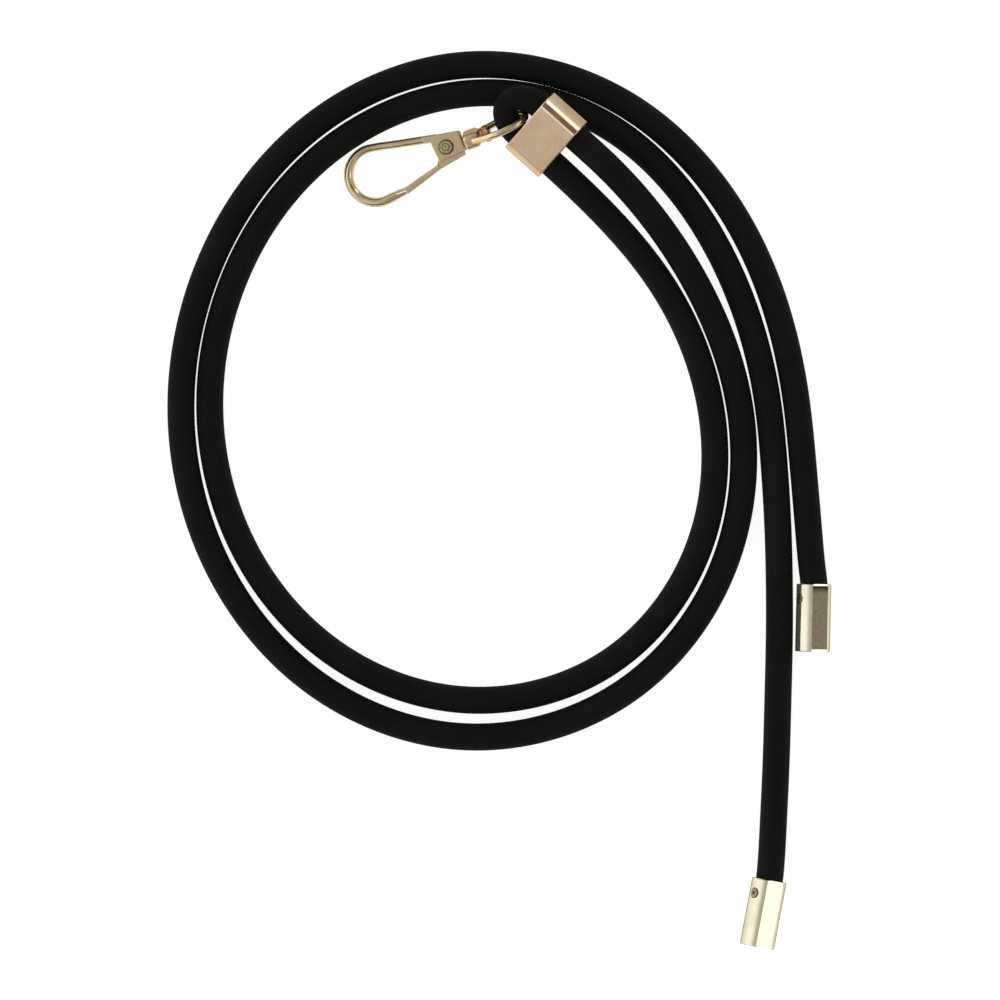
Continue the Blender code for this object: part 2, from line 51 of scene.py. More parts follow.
# A turn's rows are clock angle in degrees, radius from the coil's centre and height, and a tail's are x, y and
# height. Near the top the two turns lie 0.1 to 0.2 mm closer than the solids do, because the strands touch there.
OUTER_TURN = [
    (30, 0.0811, 0.0128), (60, 0.0764, 0.0074), (90, 0.0808, 0.0041), (120, 0.0895, 0.0040),
    (150, 0.0969, 0.0040), (180, 0.0977, 0.0040), (210, 0.0920, 0.0040), (240, 0.0852, 0.0040),
    (270, 0.0821, 0.0040), (300, 0.0842, 0.0040), (330, 0.0912, 0.0040), (360, 0.0983, 0.0040),
    (375, 0.0995, 0.0040), (390, 0.0991, 0.0040), (420, 0.0960, 0.0040), (450, 0.0976, 0.0040),
]
OUTER_TAIL = [
    (0.0630, 0.0177, 0.0040), (0.0650, -0.0057, 0.0043), (0.0657, -0.0133, 0.0048),
]
INNER_TURN = [
    (30, 0.0705, 0.0083), (60, 0.0677, 0.0050), (90, 0.0723, 0.0040), (120, 0.0807, 0.0040),
    (150, 0.0872, 0.0040), (180, 0.0869, 0.0040), (210, 0.0817, 0.0040), (240, 0.0761, 0.0040),
    (270, 0.0737, 0.0040), (300, 0.0759, 0.0040), (330, 0.0826, 0.0040), (360, 0.0899, 0.0040),
    (375, 0.0915, 0.0040), (390, 0.0909, 0.0040), (420, 0.0870, 0.0040), (450, 0.0892, 0.0040),
]
INNER_TAIL = [
    (0.0546, 0.0177, 0.0040), (0.0557, 0.0001, 0.0040), (0.0562, -0.0174, 0.0040),
    (0.0562, -0.0349, 0.0040), (0.0558, -0.0524, 0.0040), (0.0553, -0.0699, 0.0040),
    (0.0545, -0.0875, 0.0042), (0.0538, -0.0997, 0.0048),
]
# Where each cap's mouth lies, the way the cap points, and how far its screw is turned from the top
CAP_SEATS = {
    "outer": ((0.0663, -0.0185), math.radians(-91.3), math.radians(-58)),
    "inner": ((0.0533, -0.1049), math.radians(-100.7), math.radians(-48)),
}
CAP_DIAMETER = 0.0102
CAP_LENGTH = 0.0198
CAP_FLOOR = 0.0036
CAP_BEVEL = 0.0004
CAP_SIDES = 128
CAP_FLAT_DEPTH = 0.00064
CAP_FLAT_TURN = math.radians(24)
CAP_SCREW_DIAMETER = 0.0028
CAP_SCREW_FROM_MOUTH = 0.0044
CAP_SCREW_ROOM = CLEARANCE * 0.6
CAP_SCREW_PROUD = 0.0002
CAP_SCREW_BEVEL = 0.0002
CAP_SCREW_SOCKET = 0.0013
CAP_SCREW_SOCKET_DEPTH = 0.0005

SLIDER_PLACE = (-0.0119, 0.1124, 0.0112447)
SLIDER_TURN = math.radians(-41.8)
SLIDER_LEAN = math.radians(25)
SLIDER_LENGTH = 0.0132
SLIDER_HEIGHT = 0.0106
SLIDER_WIDTH = 0.0208
SLIDER_EDGE_RADIUS = 0.0029
SLIDER_EDGE_STEPS = 14
SLIDER_END_BEVEL = 0.0004
CHANNEL_SPACING = 0.0112
CHANNEL_FLARE = 0.0003
BORE_RADIUS = CORD_DIAMETER / 2 + CLEARANCE
BORE_SIDES = 72
CUT_BEYOND = 0.0001
FOLD_REACH = 0.0074
FOLD_SQUEEZE = 0.90
FOLD_RISE = 0.0010
FOLD_STEPS = 60
# The shares of the fold's length between which the ring squeezes it
FOLD_HELD = (0.25, 0.75)

SWIVEL_PLACE = (-0.03355, 0.11134, 0.00776)
SWIVEL_TURN = math.radians(200.12)
SWIVEL_SLOPE = math.radians(9.47)
PIN_DIAMETER = 0.0022
PIN_HEAD_DIAMETER = 0.0050
PIN_HEAD_LENGTH = 0.0030
PIN_SEAT_DEPTH = 0.0016
# The pin's head: how far below its top, or above its foot, and how far inside its rim
PIN_TOP = [(0.0, 0.0006), (0.0002, 0.0002), (0.0005, 0.0)]
PIN_FOOT = [(0.0013, 0.0), (0.0011, 0.0002), (0.0009, 0.0005), (0.0003, 0.0005), (0.0001, 0.0002), (0.0, 0.0004)]
TURNED_SIDES = 64
HOLE_SIDES = 40
WIRE_SIDES = 32
WIRE_STEP = 0.0004
RING_WIRE = 0.0021
RING_HALF_WIDTH = 0.00571
RING_REACH = 0.01716
RING_STEPS = 14
RING_LEAN = math.radians(18.1)
RING_SWING = math.radians(1.32)
RING_YAW = math.radians(2.68)
RING_TUCK = 0.0007
BASE_LENGTH = 0.0049
BASE_WIDTH = 0.0068
BASE_THICKNESS = 0.0046
BASE_EDGE = 0.0012
BASE_EDGE_STEPS = 6
CHEEK_LENGTH = 0.0083
CHEEK_THICKNESS = 0.0040
CHEEK_SPINE_SIDE = 0.0036
CHEEK_GATE_SIDE = 0.0025
CHEEK_FLARE = 0.0008
CHEEK_SHOULDER = 0.0006
CHEEK_RUNOUT = 0.0021
CHEEK_RUNOUT_EDGES = (0.0018, 0.0002)
CHEEK_EDGE = 0.0003
SPINE_SLOPE = 0.195
SPINE_WIRE = 0.0023
SPINE_SHARES = (0.0, 0.35, 0.7)
HOOK_WIRE = 0.0028
BEND_RADIUS = 0.0080
BEND_CENTRE = (0.0304, 0.0001)
BEND_FROM, BEND_TO = -100, 97
BEND_TAPER = 6
BEND_STEPS = 18
NOSE_LENGTH = 0.0055
NOSE_SLANT = 0.0006
NOSE_WIRE = 0.0024
NOSE_LIP = 0.0010
RIVET_PLACE = (0.0077, -0.0003)
RIVET_DIAMETER = 0.0022
RIVET_HEAD_DIAMETER = 0.0044
RIVET_HEAD_HEIGHT = 0.0005
RIVET_RIM = 0.0001
RIVET_STRAIGHT = 0.6
# The turned face of the rivet's head: how far below the top, and the radius
RIVET_TURNING = [
    (0.0, 0.0019), (0.0, 0.0016), (0.0002, 0.0014), (0.0002, 0.0012), (0.0, 0.0010), (0.0, 0.0006), (0.0002, 0.0004),
    (0.00025, 0.0),
]
GATE_ROOT_THICKNESS = 0.0014
GATE_ROOT_EDGE = 0.00012
GATE_EYE_DIAMETER = 0.0038
GATE_EYE_ARC = (150, 330)
GATE_EYE_STEPS = 24
GATE_EYE_MEETS_BAND = 0.8
GATE_BAND_WIDTH = 0.0012
GATE_BAND_SUNK = 0.0006
GATE_BAR_THICKNESS = 0.0023
GATE_BAR_EDGE = 0.00032
GATE_BAR_START = (0.0116, 0.0043)
GATE_BAR_START_WIDTH = 0.0016
GATE_BAR_END_WIDTH = 0.0021
GATE_TONGUE_LENGTH = 0.0030
GATE_TONGUE_WIDTH = 0.0009

SLIDER_FRAME = (
    Matrix.Translation(SLIDER_PLACE)
    @ Matrix.Rotation(SLIDER_TURN, 4, "Z")
    @ Matrix.Rotation(SLIDER_LEAN, 4, "X")
)
SWIVEL_FRAME = (
    Matrix.Translation(SWIVEL_PLACE)
    @ Matrix.Rotation(SWIVEL_TURN, 4, "Z")
    @ Matrix.Rotation(SWIVEL_SLOPE, 4, "Y")
)
# Turns a shape made along X to point along Z
UPRIGHT = Matrix.Rotation(math.radians(-90), 4, "Y")


def cap_frame(which):
    """Where a cap lies: from its mouth, with X along it and Z up."""
    (x, y), heading, _ = CAP_SEATS[which]
    return Matrix.Translation((x, y, CAP_DIAMETER / 2)) @ Matrix.Rotation(heading, 4, "Z")


# Camera: straight above, and so far away that heights hardly shift in the picture
VIEW_WIDTH = 0.292
VIEW_CENTRE = (-0.02535, 0.00599)
CAMERA_HEIGHT = 3.0
MEASURED_HEIGHT = 0.004
camera_data = bpy.data.cameras.new("camera")
camera_data.sensor_width = 36.0
camera_data.lens = camera_data.sensor_width * (CAMERA_HEIGHT - MEASURED_HEIGHT) / VIEW_WIDTH
camera_data.clip_start, camera_data.clip_end = 0.1, 20.0
camera = bpy.data.objects.new("camera", camera_data)
camera.location = (*VIEW_CENTRE, CAMERA_HEIGHT)
scene.collection.objects.link(camera)
scene.camera = camera
scene.view_settings.view_transform = "Standard"


# Mesh tools

def new_object(name, mesh):
    obj = bpy.data.objects.new(name, mesh)
    scene.collection.objects.link(obj)
    return obj


def spline_through(knots, spacing):
    """Points about one spacing apart on the natural cubic spline through the knots."""
    knots = np.array(knots, dtype=float)
    gaps = np.linalg.norm(np.diff(knots, axis=0), axis=1)
    count = len(knots)
    system, right = np.eye(count), np.zeros((count, 3))
    for i in range(1, count - 1):
        before, after = gaps[i - 1], gaps[i]
        system[i, i - 1:i + 2] = before, 2 * (before + after), after
        right[i] = 6 * ((knots[i + 1] - knots[i]) / after - (knots[i] - knots[i - 1]) / before)
    bend = np.linalg.solve(system, right)
    points = []
    for i, gap in enumerate(gaps):
        steps = max(1, round(gap / spacing))
        done = gap * np.arange(steps) / steps
        left = gap - done
        cubic = (np.outer(left**3, bend[i]) + np.outer(done**3, bend[i + 1])) / (6 * gap)
        linear = np.outer(left, knots[i] / gap - bend[i] * gap / 6)
        points.append(cubic + linear + np.outer(done, knots[i + 1] / gap - bend[i + 1] * gap / 6))
    points.append(knots[-1:])
    return np.vstack(points)


def evenly(points, spacing):
    """The same line with its points evenly spaced."""
    points = np.array(points, dtype=float)
    along = np.concatenate([[0], np.cumsum(np.linalg.norm(np.diff(points, axis=0), axis=1))])
    wanted = np.linspace(0, along[-1], max(2, round(along[-1] / spacing)) + 1)
    return np.column_stack([np.interp(wanted, along, points[:, k]) for k in range(3)]), wanted


def sweep_axes(path):
    """Two cross directions at each point, carried along the path without twist."""
    tangents = np.gradient(path, axis=0)
    tangents /= np.linalg.norm(tangents, axis=1)[:, None]
    side = np.cross(tangents[0], (0.0, 0.0, 1.0))
    if np.linalg.norm(side) < 0.1:
        side = np.cross(tangents[0], (0.0, 1.0, 0.0))
    sides = []
    for tangent in tangents:
        side = side - tangent * side.dot(tangent)
        side = side / np.linalg.norm(side)
        sides.append(side)
    sides = np.array(sides)
    return sides, np.cross(sides, tangents)


def tube(name, path, radii, sides, along=None, cells_round=1.0, cell=1.0):
    """A mesh tube. radii has one row per point and one column per side, or one number per point.

    Where the distances along it are given, its weave map counts cells round it and along it.
    """
    path = np.array(path, dtype=float)
    rings = len(path)
    radii = np.array(radii, dtype=float)
    radii = np.repeat(radii[:, None], sides, axis=1) if radii.ndim == 1 else radii
    turns = np.arange(sides) * 2 * math.pi / sides
    cross, up = sweep_axes(path)
    spokes = cross[:, None, :] * np.cos(turns)[None, :, None]
    spokes = spokes + up[:, None, :] * np.sin(turns)[None, :, None]
    corners = (path[:, None, :] + spokes * radii[:, :, None]).reshape(-1, 3)
    i, j = np.meshgrid(np.arange(rings - 1), np.arange(sides), indexing="ij")
    here, after, beside = i * sides, (i + 1) * sides, (j + 1) % sides
    faces = np.stack([here + j, here + beside, after + beside, after + j], axis=-1).reshape(-1, 4).tolist()
    faces.append(list(range(sides))[::-1])
    faces.append([(rings - 1) * sides + k for k in range(sides)])
    mesh = bpy.data.meshes.new(name)
    mesh.from_pydata(corners.tolist(), [], faces)
    if along is not None:
        layer = mesh.uv_layers.new(name="weave")
        u = np.stack([j, j + 1, j + 1, j], axis=-1) * cells_round / sides
        v = np.stack([i, i, i + 1, i + 1], axis=-1)
        v = np.array(along)[v] / cell
        uv = np.zeros((len(mesh.loops), 2))
        uv[:u.size] = np.stack([u, v], axis=-1).reshape(-1, 2)
        layer.data.foreach_set("uv", uv.ravel())
    mesh.shade_smooth()
    mesh.update()
    return mesh


def lathe(name, profile, sides=96):
    """A solid of revolution about X. The profile's rows are x and radius, from the axis and back to it."""
    mesh = bpy.data.meshes.new(name)
    bm = bmesh.new()
    rings = []
    for x, radius in profile:
        if radius < NEARLY_NOTHING:
            rings.append([bm.verts.new((x, 0, 0))])
            continue
        turns = [2 * math.pi * k / sides for k in range(sides)]
        rings.append([bm.verts.new((x, radius * math.cos(t), radius * math.sin(t))) for t in turns])
    for first, second in zip(rings, rings[1:]):
        for k in range(sides):
            n = (k + 1) % sides
            here = [first[k % len(first)], first[n % len(first)]]
            there = [second[n % len(second)], second[k % len(second)]]
            unique = list(dict.fromkeys(here + there))
            if len(unique) > 2:
                bm.faces.new(unique)
    bmesh.ops.recalc_face_normals(bm, faces=bm.faces)
    bm.to_mesh(mesh)
    bm.free()
    return mesh


def prism(name, outline, thickness, edge=0.0, segments=3):
    """A flat outline thickened to both sides, its rims rounded."""
    mesh = bpy.data.meshes.new(name)
    bm = bmesh.new()
    low = [bm.verts.new((x, y, -thickness / 2)) for x, y in outline]
    high = [bm.verts.new((x, y, thickness / 2)) for x, y in outline]
    bm.faces.new(low[::-1])
    bm.faces.new(high)
    for k in range(len(outline)):
        n = (k + 1) % len(outline)
        bm.faces.new([low[k], low[n], high[n], high[k]])
    bmesh.ops.recalc_face_normals(bm, faces=bm.faces)
    if edge:
        sharp = [e for e in bm.edges if e.calc_face_angle(0) > math.radians(40)]
        bmesh.ops.bevel(bm, geom=sharp, offset=edge, segments=segments, profile=0.5, affect="EDGES")
    bm.to_mesh(mesh)
    bm.free()
    return mesh


def block(name, lows, highs, edge=0.0, segments=4):
    """A box between two corners, its edges rounded."""
    lows, highs = Vector(lows), Vector(highs)
    mesh = bpy.data.meshes.new(name)
    bm = bmesh.new()
    middle, size = (lows + highs) / 2, highs - lows
    bmesh.ops.create_cube(bm, size=1.0, matrix=Matrix.Translation(middle) @ Matrix.Diagonal((*size, 1.0)))
    if edge:
        bmesh.ops.bevel(bm, geom=bm.edges[:], offset=edge, segments=segments, profile=0.5, affect="EDGES")
    bm.to_mesh(mesh)
    bm.free()
    return mesh


def rod(radius, start, end, sides=48, flare=0.0):
    """A cylinder between two points, its ends widened by the flare."""
    start, end = Vector(start), Vector(end)
    length = (end - start).length
    profile = [(0, 0), (0, radius), (length, radius), (length, 0)]
    if flare:
        wide = radius + flare
        profile = [(0, 0), (0, wide), (flare, radius), (length - flare, radius), (length, wide), (length, 0)]
    mesh = lathe("rod", profile, sides)
    mesh.transform(Matrix.Translation(start) @ (end - start).to_track_quat("X", "Z").to_matrix().to_4x4())
    return mesh


def combine(mesh, steps):
    """The mesh after cutting or joining the other meshes."""
    obj = new_object("work", mesh)
    tools = []
    for operation, tool in steps:
        other = new_object("tool", tool)
        tools.append(other)
        step = obj.modifiers.new("step", "BOOLEAN")
        step.operation, step.solver, step.object = operation, "EXACT", other
    graph = bpy.context.evaluated_depsgraph_get()
    made = bpy.data.meshes.new_from_object(obj.evaluated_get(graph))
    for other in [obj, *tools]:
        bpy.data.objects.remove(other, do_unlink=True)
    return made


def arc(centre, radius, first, last, steps):
    """Points on a circle from one angle to another, in degrees."""
    turns = np.radians(np.linspace(first, last, steps + 1))
    return [(centre[0] + radius * math.cos(t), centre[1] + radius * math.sin(t)) for t in turns]


def metal_piece(name, mesh, place, finish, body, nodes, angle=32):
    """A finished metal piece: its mesh is put in place, its flats stay flat and its rounds stay round."""
    mesh.transform(place)
    mesh.shade_smooth()
    mesh.set_sharp_from_angle(angle=math.radians(angle))
    mesh.materials.clear()
    mesh.materials.append(finish)
    obj = new_object(name, mesh)
    even = obj.modifiers.new("flats", "WEIGHTED_NORMAL")
    even.keep_sharp = True
    even.weight = 90
    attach(obj, body)
    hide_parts(*nodes)
    return obj


# Materials

class Nodes:
    """Short calls for building a node tree."""

    def __init__(self, tree):
        self.tree = tree

    def add(self, kind, **settings):
        node = self.tree.nodes.new(kind)
        for key, value in settings.items():
            setattr(node, key, value)
        return node

    def join(self, source, target):
        self.tree.links.new(source, target)

    def math(self, operation, a, b=None, clamp=False):
        node = self.add("ShaderNodeMath", operation=operation, use_clamp=clamp)
        for socket, value in zip(node.inputs, (a, b)):
            if value is None:
                continue
            if isinstance(value, (int, float)):
                socket.default_value = value
            else:
                self.join(value, socket)
        return node.outputs[0]

    def step(self, value, low, high, out_low=0.0, out_high=1.0):
        """A smooth step of the value from low to high."""
        node = self.add("ShaderNodeMapRange", interpolation_type="SMOOTHSTEP", clamp=True)
        self.join(value, node.inputs["Value"])
        for name, number in zip(("From Min", "From Max", "To Min", "To Max"), (low, high, out_low, out_high)):
            node.inputs[name].default_value = number
        return node.outputs["Result"]

    def noise(self, vector, scale, detail=2.0, roughness=0.5):
        node = self.add("ShaderNodeTexNoise")
        node.inputs["Scale"].default_value = scale
        node.inputs["Detail"].default_value = detail
        node.inputs["Roughness"].default_value = roughness
        self.join(vector, node.inputs["Vector"])
        return node.outputs["Fac"]

    def window(self, value, low, high, low_end, high_end):
        """One between two limits, falling to nothing beyond them over a given width of edge."""
        return self.math("MULTIPLY", self.step(value, low, high), self.step(value, low_end, high_end, 1.0, 0.0))

    def vector(self, operation, value, constant, output="Value"):
        """A vector sum of one socket and one constant."""
        node = self.add("ShaderNodeVectorMath", operation=operation)
        self.join(value, node.inputs[0])
        node.inputs[1].default_value = constant
        return node.outputs[output]

    def blend(self, factor, first, second):
        """From the first colour to the second, each a colour or a socket."""
        node = self.add("ShaderNodeMix", data_type="RGBA")
        self.join(factor, node.inputs["Factor"])
        for socket, colour in ((node.inputs[6], first), (node.inputs[7], second)):
            if isinstance(colour, tuple):
                socket.default_value = (*colour, 1.0)
            else:
                self.join(colour, socket)
        return node.outputs[2]

    def bump(self, height, strength, distance, shader):
        node = self.add("ShaderNodeBump")
        node.inputs["Strength"].default_value = strength
        node.inputs["Distance"].default_value = distance
        self.join(height, node.inputs["Height"])
        self.join(node.outputs["Normal"], shader.inputs["Normal"])

    def facing(self, axis):
        """How nearly the surface faces along the axis."""
        return self.vector("DOT_PRODUCT", self.add("ShaderNodeTexCoord").outputs["Normal"], axis)


def new_material(name):
    made = bpy.data.materials.new(name)
    made.use_nodes = True
    nodes = Nodes(made.node_tree)
    return made, nodes, made.node_tree.nodes["Principled BSDF"]


# Plating: how far it acts as bare metal, its tint at grazing angles, and its tone drift, wipe marks and smudges
METALNESS = 0.88
EDGE_TINT = (0.30, 0.24, 0.14)
DRIFT_SCALE = 180.0
WIPE_HEADING = 0.6
WIPE_STRETCH = 18.0
WIPE_SCALE = 700.0
WIPE_ROUGHNESS = 0.06
WIPE_STRENGTH, WIPE_DEPTH = 0.02, 0.00002
SMUDGE_SCALE = 420.0
SMUDGE_ROUGHNESS = 0.05
MIDDLE = (0.3, 0.7)

# The panel on the outer cap's flat, where a darker colour is painted in as a reflection: where it starts and ends
# along the cap, and its grained satin
PANEL_START = (0.0005, 0.0006)
PANEL_END = (0.0190, 0.0191)
PANEL_FACING = (0.996, 0.998)
# Painted shade: the panel is coloured darker near the cap's mouth, over this span of its length, in this colour
PAINTED_FLAT_SHADE_SPAN = (0.0008, 0.0030)
PAINTED_FLAT_SHADE = (0.050, 0.036, 0.024)
PANEL_GRAIN = 1500.0
PAINTED_FLAT_TONES = (0.30, 0.235, 0.150), (0.42, 0.335, 0.220)
PANEL_METAL_LOST = 0.78
PANEL_ROUGHNESS = 0.4

# Painted shade in the rivet's grooves: the width of its soft edge and its dark colour
GROOVE_EDGE = 0.00008
GROOVE_PAINTED_SHADE = (0.10, 0.065, 0.03)


def gold_finish(name, bright, deep, roughness, satin_side=None, panel=None, rings=None):
    """Polished pale gold plating: faint tone drift, fine wipe marks and a slightly uneven polish.

    satin_side is a direction whose faces are satin. panel is the direction that the outer cap's flat faces, a point
    at its start and the way it runs;
    there a darker grained colour is painted in as a reflection, darker still near the start as painted shade. rings
    is the middle of the rivet's head, whose grooves are painted dark as painted shade.
    """
    made, nodes, shader = new_material(name)
    place = nodes.add("ShaderNodeTexCoord").outputs["Object"]
    drift = nodes.noise(place, DRIFT_SCALE, 3.0)
    tone = nodes.blend(nodes.step(drift, *MIDDLE), deep, bright)
    mapping = nodes.add("ShaderNodeMapping")
    mapping.inputs["Rotation"].default_value = (0.0, 0.0, WIPE_HEADING)
    mapping.inputs["Scale"].default_value = (1.0, WIPE_STRETCH, WIPE_STRETCH)
    nodes.join(place, mapping.inputs["Vector"])
    wipes = nodes.noise(mapping.outputs["Vector"], WIPE_SCALE, 3.0, 0.6)
    smudges = nodes.noise(place, SMUDGE_SCALE, 2.0)
    rough = nodes.math(
        "ADD", nodes.step(smudges, 0.35, 0.75, roughness, roughness + SMUDGE_ROUGHNESS),
        nodes.step(wipes, 0.55, 0.85, 0.0, WIPE_ROUGHNESS),
    )
    nodes.bump(wipes, WIPE_STRENGTH, WIPE_DEPTH, shader)
    shader.inputs["Specular Tint"].default_value = (*EDGE_TINT, 1.0)
    shader.inputs["Metallic"].default_value = METALNESS
    if satin_side:
        satin = nodes.step(nodes.facing(satin_side), 0.88, 0.95, METALNESS, 0.0)
        nodes.join(satin, shader.inputs["Metallic"])
    if panel:
        # Painted reflection: the outer cap's flat is coloured a darker grained taupe and given less metal and more
        # roughness, standing in for the darker reflection it shows
        axis, start, along = panel
        offset = nodes.vector("SUBTRACT", place, start, "Vector")
        depth = nodes.vector("DOT_PRODUCT", offset, along)
        inside = nodes.window(depth, *PANEL_START, *PANEL_END)
        inside = nodes.math("MULTIPLY", inside, nodes.step(nodes.facing(axis), *PANEL_FACING))
        grain = nodes.noise(place, PANEL_GRAIN, 3.0, 0.7)
        painted_flat_tone = nodes.blend(nodes.step(grain, *MIDDLE), *PAINTED_FLAT_TONES)
        # Painted shade: darker near the panel's start at the cap's mouth
        painted_flat_tone = nodes.blend(nodes.step(depth, *PAINTED_FLAT_SHADE_SPAN), PAINTED_FLAT_SHADE, painted_flat_tone)
        tone = nodes.blend(inside, tone, painted_flat_tone)
        metal_lost = nodes.math("MULTIPLY", inside, PANEL_METAL_LOST)
        nodes.join(nodes.math("SUBTRACT", METALNESS, metal_lost), shader.inputs["Metallic"])
        rough = nodes.math("ADD", rough, nodes.math("MULTIPLY", inside, PANEL_ROUGHNESS))
    if rings:
        gap = nodes.vector("DISTANCE", place, rings)
        # Painted shade: each groove of the rivet's head is coloured dark
        for near, far in RIVET_GROOVES:
            groove = nodes.window(
                gap, near - GROOVE_EDGE, near + GROOVE_EDGE, far - GROOVE_EDGE, far + GROOVE_EDGE,
            )
            tone = nodes.blend(groove, tone, GROOVE_PAINTED_SHADE)
    nodes.join(tone, shader.inputs["Base Color"])
    nodes.join(rough, shader.inputs["Roughness"])
    return made


# Braid: how sharply its yarns curve, their threads, the fuzz on them, and how deep it lies
YARN_CURVE = 2.5
YARN_THREADS = 4
THREAD_HEIGHT = 0.07
FUZZ_SCALE, FUZZ_HEIGHT = 9000.0, 0.12
WEAR_SCALE = 60.0
BRAID_STRENGTH, BRAID_DEPTH = 0.7, 0.00012
BRAID_TONES = (0.0040, 0.0040, 0.0037), (0.0150, 0.0147, 0.0136)
BRAID_ROUGHNESS = (0.78, 0.95)
BRAID_SPECULAR = 0.09


def cord_finish():
    """A braided sheath: yarns that cross over and under each other, each of fine twisted threads."""
    made, nodes, shader = new_material("black_braid")
    uv = nodes.add("ShaderNodeUVMap", uv_map="weave").outputs["UV"]
    parts = nodes.add("ShaderNodeSeparateXYZ")
    nodes.join(uv, parts.inputs[0])
    u, v = parts.outputs["X"], parts.outputs["Y"]
    a, b = nodes.math("ADD", u, v), nodes.math("SUBTRACT", u, v)
    whole_a, whole_b = nodes.math("ROUND", a), nodes.math("ROUND", b)
    part_a, part_b = nodes.math("SUBTRACT", a, whole_a), nodes.math("SUBTRACT", b, whole_b)
    over = nodes.math("ABSOLUTE", nodes.math("MODULO", nodes.math("ADD", whole_a, whole_b), 2.0))
    under = nodes.math("SUBTRACT", 1.0, over)

    def yarn(across, along):
        """The height of a yarn, across it from -0.5 to 0.5 and along it as far."""
        from_middle = nodes.math("ABSOLUTE", nodes.math("MULTIPLY", across, 2.0))
        profile = nodes.math("SUBTRACT", 1.0, nodes.math("POWER", from_middle, YARN_CURVE))
        dive = nodes.math("COSINE", nodes.math("MULTIPLY", along, math.pi))
        threads = nodes.math("SINE", nodes.math("MULTIPLY", across, 2 * math.pi * YARN_THREADS))
        rise = nodes.math("MULTIPLY", profile, nodes.math("ADD", nodes.math("MULTIPLY", dive, 0.5), 0.5))
        return nodes.math("ADD", rise, nodes.math("MULTIPLY", threads, THREAD_HEIGHT))

    height = nodes.math(
        "ADD", nodes.math("MULTIPLY", yarn(part_a, part_b), over),
        nodes.math("MULTIPLY", yarn(part_b, part_a), under),
    )
    place = nodes.add("ShaderNodeTexCoord").outputs["Object"]
    fuzz = nodes.noise(place, FUZZ_SCALE, 2.0, 0.7)
    wear = nodes.noise(place, WEAR_SCALE, 3.0)
    height = nodes.math("ADD", height, nodes.math("MULTIPLY", fuzz, FUZZ_HEIGHT))
    # Painted shade: the weave's low places are coloured darker and its raised yarns lighter; the wear noise adds
    # real uneven wear
    painted_weave_shade = nodes.step(height, 0.0, 1.1, 0.0, 0.75)
    worn_part = nodes.step(wear, 0.3, 0.75, 0.0, 0.25)
    tone = nodes.math("ADD", painted_weave_shade, worn_part, clamp=True)
    nodes.join(nodes.blend(tone, *BRAID_TONES), shader.inputs["Base Color"])
    nodes.join(nodes.step(fuzz, 0.2, 0.8, *BRAID_ROUGHNESS), shader.inputs["Roughness"])
    nodes.bump(height, BRAID_STRENGTH, BRAID_DEPTH, shader)
    shader.inputs["Specular IOR Level"].default_value = BRAID_SPECULAR
    return made


POLISHED = 0.10
GOLD = gold_finish("pale_gold_polished", (0.84, 0.67, 0.41), (0.74, 0.57, 0.33), POLISHED)
SLIDER_SIDE = tuple(SLIDER_FRAME.to_3x3() @ Vector((0.0, 1.0, 0.0)))
GOLD_PLATE = gold_finish(
    "pale_gold_plate", (0.84, 0.63, 0.41), (0.80, 0.58, 0.35), 0.16, satin_side=SLIDER_SIDE,
)
CAP_SHADES = (0.84, 0.79, 0.60), (0.76, 0.71, 0.51)
CAP_FLAT_FACING = Matrix.Rotation(-CAP_FLAT_TURN, 3, "X") @ Vector((0.0, 0.0, 1.0))
OUTER_CAP_FRAME = cap_frame("outer")
OUTER_CAP_PANEL = (
    tuple(OUTER_CAP_FRAME.to_3x3() @ CAP_FLAT_FACING),
    tuple(OUTER_CAP_FRAME.translation),
    tuple(OUTER_CAP_FRAME.to_3x3() @ Vector((1.0, 0.0, 0.0))),
)
CAP_GOLD = {
    "outer": gold_finish("champagne_gold_painted_flat", *CAP_SHADES, POLISHED, panel=OUTER_CAP_PANEL),
    "inner": gold_finish("champagne_gold", *CAP_SHADES, POLISHED),
}
# Distances from the middle of the rivet's head between which its grooves are painted dark as painted shade
RIVET_GROOVES = [(-1.0, 0.00028), (0.00085, 0.00115), (0.00180, 0.00300)]
RIVET_TOP = CHEEK_THICKNESS / 2 + CLEARANCE + RIVET_HEAD_HEIGHT
RIVET_FACE = tuple(SWIVEL_FRAME @ Vector((*RIVET_PLACE, RIVET_TOP)))
RIVET_GOLD = gold_finish("turned_gold", (0.93, 0.76, 0.48), (0.86, 0.69, 0.42), POLISHED, rings=RIVET_FACE)
COPPER = gold_finish("warm_gold_neck", (0.78, 0.45, 0.27), (0.66, 0.34, 0.19), 0.12)
SCREW = gold_finish("dark_screw_steel", (0.42, 0.33, 0.22), (0.30, 0.23, 0.15), 0.22)
BRAID = cord_finish()

# Cord: the three woven stretches

BRAID_YARNS = 24
BRAID_CELL = math.pi * CORD_DIAMETER / BRAID_YARNS
SHEATH_STEP = BRAID_CELL / 2
SHEATH_SIDES = 2 * BRAID_YARNS
SHEATH_RELIEF = 0.00004
SHEATH_RADIUS = CORD_DIAMETER / 2 - SHEATH_RELIEF


def on_turn(row):
    """The place of a row of a turn's table."""
    clock, radius, height = row
    turn = math.radians(clock)
    return (COIL_CENTRE[0] + radius * math.sin(turn), COIL_CENTRE[1] + radius * math.cos(turn), height)


